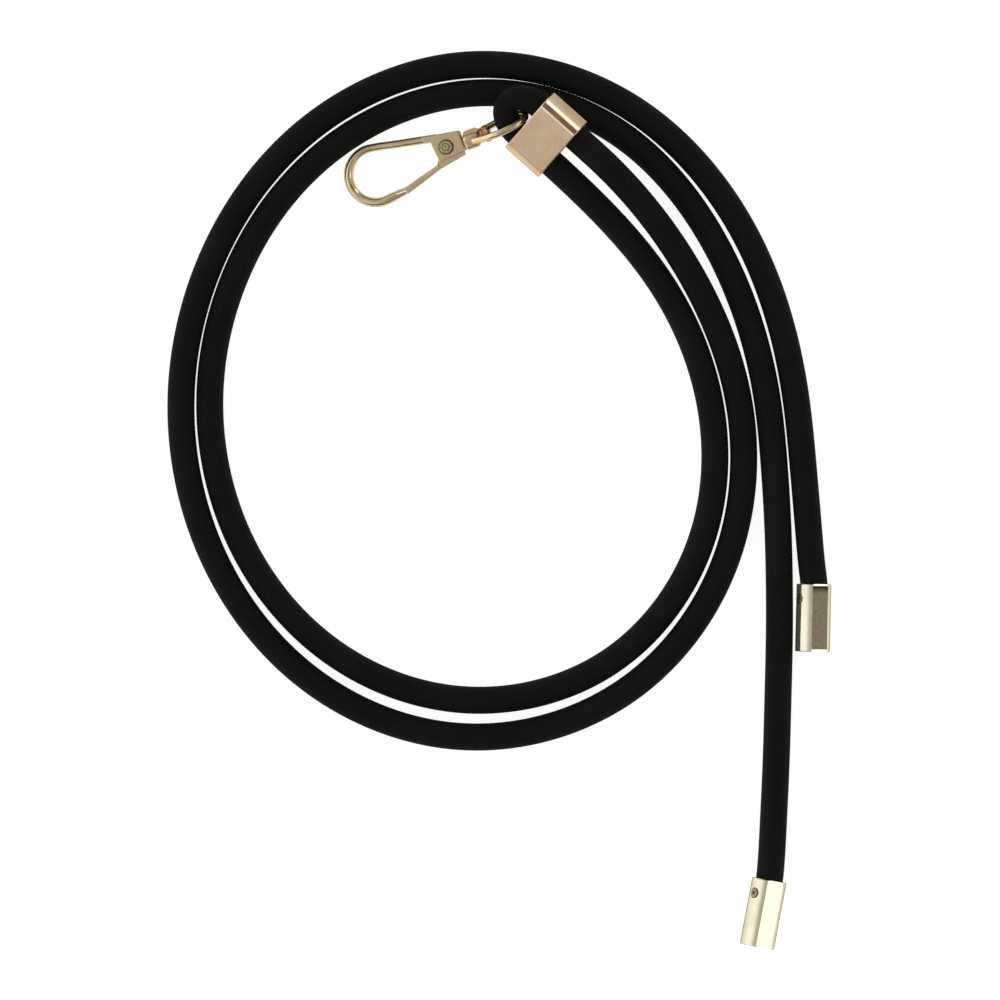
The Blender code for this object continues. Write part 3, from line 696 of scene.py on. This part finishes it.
def woven(name, points, squeeze, node):
    """A woven stretch of cord along the points, as narrow as the squeeze makes each share of its length."""
    path, along = evenly(points, SHEATH_STEP)
    rows = np.arange(len(path))[:, None]
    columns = np.arange(SHEATH_SIDES)[None, :]
    relief = np.where((rows + columns) % 2 == 0, SHEATH_RELIEF, -SHEATH_RELIEF)
    radii = SHEATH_RADIUS * squeeze(along / along[-1])[:, None] + relief
    steps_along = np.arange(len(path)) * SHEATH_STEP
    mesh = tube(name, path, radii, SHEATH_SIDES, steps_along, BRAID_YARNS, BRAID_CELL)
    mesh.materials.append(BRAID)
    obj = new_object(name, mesh)
    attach(obj, "strap")
    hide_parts(node)
    return obj, path, along[-1]


def free_cord(name, side, turn, tail, cap, node):
    """A cord half, from inside the slider's channel, round the coil and down to its end inside the cap."""
    channel = side * CHANNEL_SPACING / 2
    mouth_x = SLIDER_LENGTH / 2
    start = [tuple(SLIDER_FRAME @ Vector((x, channel, 0))) for x in (mouth_x - CORD_INSERTION, mouth_x)]
    (x, y), heading, _ = CAP_SEATS[cap]
    mouth = (x, y, CAP_DIAMETER / 2)
    reach = CAP_LENGTH - CAP_FLOOR - CLEARANCE
    end = (x + math.cos(heading) * reach, y + math.sin(heading) * reach, CAP_DIAMETER / 2)
    points = spline_through([*start, *map(on_turn, turn), *tail, mouth, end], CORD_POINT_SPACING)
    points[:, 2] = np.maximum(points[:, 2], CORD_DIAMETER / 2)
    return woven(name, points, np.ones_like, node)


outer_cord, outer_path, outer_length = free_cord(
    "outer_sheath", 1, OUTER_TURN, OUTER_TAIL, "outer", "cord_outer",
)
inner_cord, inner_path, inner_length = free_cord(
    "inner_sheath", -1, INNER_TURN, INNER_TAIL, "inner", "cord_inner",
)


def fold_points():
    """The line of the fold, from one channel round beyond the slider's end and back into the other."""
    end = -SLIDER_LENGTH / 2
    start = SLIDER_LENGTH / 2 - CORD_INSERTION - CLEARANCE
    half = CHANNEL_SPACING / 2
    points = [(start, half, 0.0)]
    for turn in np.radians(np.linspace(0, 180, FOLD_STEPS + 1)):
        reach = math.sin(turn)
        points.append((end - CLEARANCE - FOLD_REACH * reach, half * math.cos(turn), FOLD_RISE * reach))
    points.append((start, -half, 0.0))
    return [tuple(SLIDER_FRAME @ Vector(p)) for p in points]


def fold_squeeze(shares):
    """The fold's width at each share of its length, as a share of the cord's."""
    first, last = FOLD_HELD
    held = (np.clip(shares, first, last) - first) / (last - first)
    return 1 - (1 - FOLD_SQUEEZE) * np.clip(np.sin(held * math.pi), 0, 1)


woven("fold_sheath", fold_points(), fold_squeeze, "cord_loop")

# Slider

def rounded_rectangle(width, height, radius, steps):
    """Its outline, each corner in so many steps."""
    points = []
    for quarter, (side_x, side_y) in enumerate([(1, 1), (-1, 1), (-1, -1), (1, -1)]):
        centre = (side_x * (width / 2 - radius), side_y * (height / 2 - radius))
        points += arc(centre, radius, 90 * quarter, 90 * quarter + 90, steps)
    return points


def build_slider():
    outline = rounded_rectangle(SLIDER_WIDTH, SLIDER_HEIGHT, SLIDER_EDGE_RADIUS, SLIDER_EDGE_STEPS)
    body = prism("slider", outline, SLIDER_LENGTH)
    bm = bmesh.new()
    bm.from_mesh(body)
    rims = [e for e in bm.edges if abs(e.verts[0].co.z - e.verts[1].co.z) < NEARLY_NOTHING]
    bmesh.ops.bevel(bm, geom=rims, offset=SLIDER_END_BEVEL, segments=4, profile=0.5, affect="EDGES")
    bm.to_mesh(body)
    bm.free()
    body.transform(Matrix.Rotation(math.radians(90), 4, "Z") @ Matrix.Rotation(math.radians(90), 4, "X"))
    cuts = []
    reach = SLIDER_LENGTH / 2 + CUT_BEYOND
    for side in (-1, 1):
        at = side * CHANNEL_SPACING / 2
        channel = rod(BORE_RADIUS, (-reach, at, 0), (reach, at, 0), BORE_SIDES, CHANNEL_FLARE)
        cuts.append(("DIFFERENCE", channel))
    return combine(body, cuts)


metal_piece("slider_sleeve", build_slider(), SLIDER_FRAME, GOLD_PLATE, "strap", ["slider"])

# End caps and their screws

def build_cap(which):
    radius = CAP_DIAMETER / 2
    rim = arc((CAP_BEVEL, radius - CAP_BEVEL), CAP_BEVEL, 180, 90, 4)
    back = [(CAP_LENGTH - x, r) for x, r in reversed(rim)]
    body = lathe("cap", [(0, 0), *rim, *back, (CAP_LENGTH, 0)], CAP_SIDES)
    flat_low = (-radius, -radius, radius - CAP_FLAT_DEPTH)
    flat = block("flat", flat_low, (CAP_LENGTH + radius, radius, 2 * radius))
    flat.transform(Matrix.Rotation(-CAP_FLAT_TURN, 4, "X"))
    bore = rod(BORE_RADIUS, (-CUT_BEYOND, 0, 0), (CAP_LENGTH - CAP_FLOOR, 0, 0), BORE_SIDES)
    across = Matrix.Rotation(-CAP_SEATS[which][2], 4, "X")
    beyond = across @ Vector((CAP_SCREW_FROM_MOUTH, 0, 2 * radius))
    screw_radius = CAP_SCREW_DIAMETER / 2
    hole = rod(screw_radius + CAP_SCREW_ROOM, (CAP_SCREW_FROM_MOUTH, 0, 0), beyond, HOLE_SIDES)
    body = combine(body, [("DIFFERENCE", flat), ("DIFFERENCE", bore), ("DIFFERENCE", hole)])
    metal_piece(f"cap_{which}", body, cap_frame(which), CAP_GOLD[which], "strap", [f"end_cap_{which}"])
    foot, head = BORE_RADIUS, radius + CAP_SCREW_PROUD
    screw = lathe("screw", [
        (foot, 0), (foot, screw_radius), (head - CAP_SCREW_BEVEL, screw_radius),
        (head, screw_radius - CAP_SCREW_BEVEL), (head, 0),
    ], HOLE_SIDES)
    depth = CAP_SCREW_SOCKET_DEPTH
    socket = rod(CAP_SCREW_SOCKET / 2, (head - depth, 0, 0), (head + depth, 0, 0), 6)
    screw = combine(screw, [("DIFFERENCE", socket)])
    screw.transform(across @ Matrix.Translation((CAP_SCREW_FROM_MOUTH, 0, 0)) @ UPRIGHT)
    metal_piece(
        f"screw_{which}", screw, cap_frame(which), SCREW, "strap", [f"cap_screw_{which}"],
    )


for which in CAP_SEATS:
    build_cap(which)

# Eye ring, pin, hook, rivet and gate

def cheek_start():
    """Where the hook's plate begins, from the swivel along its axis."""
    return BASE_LENGTH / 2 + CLEARANCE


def build_ring():
    lean = Matrix.Rotation(-RING_LEAN, 4, "X")
    straight = RING_REACH - RING_HALF_WIDTH
    shoulder = BASE_LENGTH / 2 + RING_WIRE / 2
    tail = [(-RING_TUCK, BASE_WIDTH / 2 - RING_TUCK), (-shoulder, BASE_WIDTH / 2 + RING_TUCK)]
    far = [(-x, z) for x, z in arc((straight, 0), RING_HALF_WIDTH, 90, -90, RING_STEPS)]
    half = [*tail, (-(shoulder + straight) / 2, RING_HALF_WIDTH)]
    loop = [*half, *far, *[(x, -z) for x, z in reversed(half)]]
    turned = lean @ Matrix.Rotation(RING_SWING, 4, "Y") @ Matrix.Rotation(RING_YAW, 4, "Z")
    points = [tuple(turned @ Vector((x, 0, z))) for x, z in loop]
    path, _ = evenly(spline_through(points, WIRE_STEP), WIRE_STEP)
    wire = tube("ring_wire", path, np.full(len(path), RING_WIRE / 2), WIRE_SIDES)
    size = Vector((BASE_LENGTH, BASE_THICKNESS, BASE_WIDTH)) / 2
    base = block("base", -size, size, BASE_EDGE, BASE_EDGE_STEPS)
    base.transform(lean)
    bore = rod(PIN_DIAMETER / 2 + CLEARANCE, (-BASE_LENGTH, 0, 0), (BASE_LENGTH, 0, 0), HOLE_SIDES)
    return combine(base, [("UNION", wire), ("DIFFERENCE", bore)])


metal_piece("eye_ring_piece", build_ring(), SWIVEL_FRAME, GOLD, "strap", ["eye_ring"], angle=40)


def build_pin():
    head = -BASE_LENGTH / 2 - CLEARANCE
    root = cheek_start() + PIN_SEAT_DEPTH - CLEARANCE
    big, small = PIN_HEAD_DIAMETER / 2, PIN_DIAMETER / 2
    top = head - PIN_HEAD_LENGTH
    profile = [
        (top, 0),
        *((top + below, big - inside) for below, inside in PIN_TOP),
        *((head - above, big - inside) for above, inside in PIN_FOOT),
        (head, small), (root, small), (root, 0),
    ]
    return lathe("pin", profile, TURNED_SIDES)


metal_piece("pin_piece", build_pin(), SWIVEL_FRAME, COPPER, "hook", ["swivel_pin"])


def spine_side(x):
    """Where the slanted side that the plate shares with the spine lies, at a distance along the axis."""
    return -(CHEEK_SPINE_SIDE + SPINE_SLOPE * (x - cheek_start()))


def hook_wire():
    """The points of the pear's wire, from the plate round the bend to the nose, and the wire's radius at each."""
    root_x = cheek_start() + CHEEK_LENGTH - SPINE_WIRE / 2
    spine_root = (root_x, spine_side(root_x) + SPINE_WIRE / 2)
    bend = arc(BEND_CENTRE, BEND_RADIUS, BEND_FROM, BEND_TO, BEND_STEPS)
    nose_end = (bend[-1][0] - NOSE_LENGTH, bend[-1][1] - NOSE_SLANT)
    spine = [tuple(a + (b - a) * share for a, b in zip(spine_root, bend[0])) for share in SPINE_SHARES]
    points = [*spine, *bend, nose_end]
    radii = [SPINE_WIRE / 2] * len(spine)
    thickened = [min(1, i / BEND_TAPER) for i in range(len(bend))]
    radii += [(SPINE_WIRE + (HOOK_WIRE - SPINE_WIRE) * share) / 2 for share in thickened]
    return [(x, y, 0.0) for x, y in points], [*radii, NOSE_WIRE / 2]


def nose_face():
    """How far across the hook the nose's lip starts, which the gate's tongue lies on."""
    return hook_wire()[0][-1][1] + NOSE_WIRE / 2 - NOSE_LIP


def gate_bar_end():
    """The middle of the gate's end, just short of the nose."""
    nose_x, nose_y, _ = hook_wire()[0][-1]
    corner = NOSE_WIRE / 2 * NOSE_SLANT / NOSE_LENGTH
    return (nose_x - corner - CLEARANCE, nose_y + (NOSE_WIRE - GATE_BAR_END_WIDTH) / 2)


def build_hook():
    start = cheek_start()
    end = start + CHEEK_LENGTH
    shoulder = end + CHEEK_SHOULDER
    runout = shoulder + CHEEK_RUNOUT
    outline = [
        (start, -CHEEK_SPINE_SIDE), (start, CHEEK_GATE_SIDE), (end, CHEEK_GATE_SIDE + CHEEK_FLARE),
        (shoulder, spine_side(shoulder) + SPINE_WIRE),
        *((runout, spine_side(runout) + edge) for edge in CHEEK_RUNOUT_EDGES),
    ]
    cheek = prism("cheek", outline, CHEEK_THICKNESS, CHEEK_EDGE, 4)
    eye_room = GATE_EYE_DIAMETER / 2 + CLEARANCE
    eye_x, eye_y = RIVET_PLACE[0] - eye_room, RIVET_PLACE[1] - eye_room
    beyond, below = runout + CHEEK_THICKNESS, 3 * CHEEK_SPINE_SIDE
    band_x, band_y = start + CLEARANCE, CHEEK_GATE_SIDE - GATE_BAND_SUNK - CLEARANCE
    slot = prism("slot", [
        (band_x, below), (band_x, band_y), (eye_x, band_y), (eye_x, eye_y), (beyond, eye_y), (beyond, below),
    ], GATE_ROOT_THICKNESS + 2 * CLEARANCE)
    x, y = RIVET_PLACE
    rivet_radius = RIVET_DIAMETER / 2 + CLEARANCE
    rivet_hole = rod(rivet_radius, (x, y, -CHEEK_THICKNESS), (x, y, CHEEK_THICKNESS), HOLE_SIDES)
    pin_hole = rod(PIN_DIAMETER / 2 + CLEARANCE, (0, 0, 0), (start + PIN_SEAT_DEPTH, 0, 0), HOLE_SIDES)
    points, radii = hook_wire()
    knots = np.concatenate([[0], np.cumsum(np.linalg.norm(np.diff(np.array(points), axis=0), axis=1))])
    path, along = evenly(spline_through(points, WIRE_STEP), WIRE_STEP)
    wire = tube("pear", path, np.interp(along / along[-1], knots / knots[-1], radii), WIRE_SIDES)
    step_to = gate_bar_end()[0] + GATE_TONGUE_LENGTH + CLEARANCE
    step = block("step", (points[-1][0] - NOSE_LENGTH, 0, -HOOK_WIRE), (step_to, nose_face(), HOOK_WIRE))
    return combine(cheek, [
        ("DIFFERENCE", slot), ("DIFFERENCE", rivet_hole), ("DIFFERENCE", pin_hole),
        ("UNION", wire), ("DIFFERENCE", step),
    ])


metal_piece("hook_piece", build_hook(), SWIVEL_FRAME, GOLD, "hook", ["hook"], angle=40)


def build_rivet():
    """Two turned heads with a ring groove and a dimple each, on one shaft."""
    foot = CHEEK_THICKNESS / 2 + CLEARANCE
    radius, shaft = RIVET_HEAD_DIAMETER / 2, RIVET_DIAMETER / 2
    side = [
        (foot, shaft), (foot, radius - RIVET_RIM), (foot + RIVET_RIM, radius),
        (foot + RIVET_HEAD_HEIGHT * RIVET_STRAIGHT, radius),
        *((RIVET_TOP - below, turned) for below, turned in RIVET_TURNING),
    ]
    profile = [(-x, r) for x, r in reversed(side)] + side
    mesh = lathe("rivet", profile, TURNED_SIDES)
    mesh.transform(Matrix.Translation((*RIVET_PLACE, 0)) @ UPRIGHT)
    return mesh


metal_piece("rivet_piece", build_rivet(), SWIVEL_FRAME, RIVET_GOLD, "hook", ["rivet"])


def build_gate():
    start = cheek_start() + 2 * CLEARANCE
    eye = GATE_EYE_DIAMETER / 2
    band_top = CHEEK_GATE_SIDE - GATE_BAND_SUNK
    band_side = CHEEK_GATE_SIDE + GATE_BAND_WIDTH
    end_x, end_y = gate_bar_end()
    start_x, start_y = GATE_BAR_START
    start_half, end_half = GATE_BAR_START_WIDTH / 2, GATE_BAR_END_WIDTH / 2
    tongue_out = nose_face() - CLEARANCE
    tongue_tip = end_x + GATE_TONGUE_LENGTH
    root_outline = [
        *arc(RIVET_PLACE, eye, *GATE_EYE_ARC, GATE_EYE_STEPS),
        (start_x + start_half, start_y - start_half / 2),
        (start_x + start_half, start_y + start_half / 2),
        (start_x, start_y + start_half),
        (start, band_side),
        (start, band_top),
        (RIVET_PLACE[0] - eye * GATE_EYE_MEETS_BAND, band_top),
    ]
    bar_outline = [
        (start_x, start_y - start_half),
        (end_x, end_y - end_half),
        (tongue_tip, tongue_out - GATE_TONGUE_WIDTH),
        (tongue_tip, tongue_out),
        (end_x, tongue_out),
        (end_x, end_y + end_half),
        (start_x, start_y + start_half),
    ]

    def from_rivet(outline):
        return [(x - RIVET_PLACE[0], y - RIVET_PLACE[1]) for x, y in outline]

    root = prism("root", from_rivet(root_outline), GATE_ROOT_THICKNESS, GATE_ROOT_EDGE, 3)
    bar = prism("bar", from_rivet(bar_outline), GATE_BAR_THICKNESS, GATE_BAR_EDGE, 4)
    hole = rod(RIVET_DIAMETER / 2 + CLEARANCE, (0, 0, -HOOK_WIRE), (0, 0, HOOK_WIRE), HOLE_SIDES)
    return combine(bar, [("UNION", root), ("DIFFERENCE", hole)])


GATE_FRAME = SWIVEL_FRAME @ Matrix.Translation((*RIVET_PLACE, 0))
metal_piece("gate_piece", build_gate(), GATE_FRAME, GOLD, "gate", ["gate"])

# Floor, light and surroundings

# It glows a little and reflects little, so that it stays white round the dark cord
FLOOR_HALF = 3.0
FLOOR_THICKNESS = 0.01
FLOOR_GREYS = (0.33, 0.33, 0.33), (0.36, 0.36, 0.36)
floor_mesh = block("floor", (-FLOOR_HALF, -FLOOR_HALF, -FLOOR_THICKNESS), (FLOOR_HALF, FLOOR_HALF, 0.0))
floor_paint, nodes, shader = new_material("white_floor")
place = nodes.add("ShaderNodeTexCoord").outputs["Object"]
nodes.join(nodes.blend(nodes.noise(place, 3.0), *FLOOR_GREYS), shader.inputs["Base Color"])
shader.inputs["Roughness"].default_value = 0.9
shader.inputs["Specular IOR Level"].default_value = 0.1
shader.inputs["Emission Color"].default_value = (1.0, 1.0, 1.0, 1.0)
shader.inputs["Emission Strength"].default_value = 0.90
floor_mesh.materials.append(floor_paint)
new_object("floor", floor_mesh)

# A narrow lane of panels runs along the heading. Its rows are how far the direction lies along the heading, and the
# light that comes from there.
STUDIO_HEADING = math.radians(48)
STUDIO_BANDS = [
    (-1.0, 0.90), (-0.875, 0.90), (-0.855, 0.06), (-0.800, 0.06), (-0.785, 0.55), (-0.720, 0.55),
    (-0.690, 1.25), (-0.430, 1.25), (-0.370, 0.04), (0.600, 0.04), (0.650, 2.2), (1.0, 2.2),
]
STUDIO_LANE = (0.06, 0.14)
# Beside the lane: the even light, what is added towards -X, and what is taken away towards both ends of Y
STUDIO_EVEN = 0.50
STUDIO_LEFT, STUDIO_LEFT_EDGE = 0.75, (0.35, 0.85)
STUDIO_ENDS, STUDIO_ENDS_EDGE = 0.36, (0.50, 0.90)
# The lamp's direction, how nearly a direction agrees with it where the lamp begins, the width of edge and the light
LAMP_AXIS = (0.74, -0.06, 0.67)
LAMP_FROM, LAMP_EDGE, LAMP_LIGHT = 0.985, 0.008, 1.4
RAMP_PEAK = 4.0


def build_world():
    """A soft white studio with long bright and dark panels in a narrow lane, and a lamp."""
    world = bpy.data.worlds.new("studio")
    scene.world = world
    world.use_nodes = True
    nodes = Nodes(world.node_tree)
    background = world.node_tree.nodes["Background"]
    direction = nodes.add("ShaderNodeTexCoord").outputs["Generated"]

    def along(axis):
        return nodes.vector("DOT_PRODUCT", direction, axis)

    forward = along((math.cos(STUDIO_HEADING), math.sin(STUDIO_HEADING), 0.0))
    sideways = nodes.math("ABSOLUTE", along((-math.sin(STUDIO_HEADING), math.cos(STUDIO_HEADING), 0.0)))
    ramp = nodes.add("ShaderNodeValToRGB")
    stops = ramp.color_ramp.elements
    while len(stops) < len(STUDIO_BANDS):
        stops.new(0.5)
    for stop, (place_along, light) in zip(stops, STUDIO_BANDS):
        stop.position = (place_along + 1) / 2
        stop.color = (light / RAMP_PEAK, light / RAMP_PEAK, light / RAMP_PEAK, 1.0)
    nodes.join(nodes.math("MULTIPLY", nodes.math("ADD", forward, 1.0), 0.5), ramp.inputs["Fac"])
    bands = nodes.math("MULTIPLY", ramp.outputs["Color"], RAMP_PEAK)
    lane = nodes.step(sideways, *STUDIO_LANE, 1.0, 0.0)
    left = nodes.step(along((-1.0, 0.0, 0.0)), *STUDIO_LEFT_EDGE, 0.0, STUDIO_LEFT)
    even = nodes.math("ADD", STUDIO_EVEN, left)
    ends = nodes.math("ABSOLUTE", along((0.0, 1.0, 0.0)))
    even = nodes.math("SUBTRACT", even, nodes.step(ends, *STUDIO_ENDS_EDGE, 0.0, STUDIO_ENDS))
    beside_lane = nodes.math("MULTIPLY", nodes.math("SUBTRACT", 1.0, lane), even)
    light = nodes.math("ADD", nodes.math("MULTIPLY", bands, lane), beside_lane)
    towards_lamp = along(Vector(LAMP_AXIS).normalized())
    lamp = nodes.step(towards_lamp, LAMP_FROM, LAMP_FROM + LAMP_EDGE, 0.0, LAMP_LIGHT)
    background.inputs["Color"].default_value = (1.0, 1.0, 1.0, 1.0)
    nodes.join(nodes.math("ADD", light, lamp), background.inputs["Strength"])


build_world()
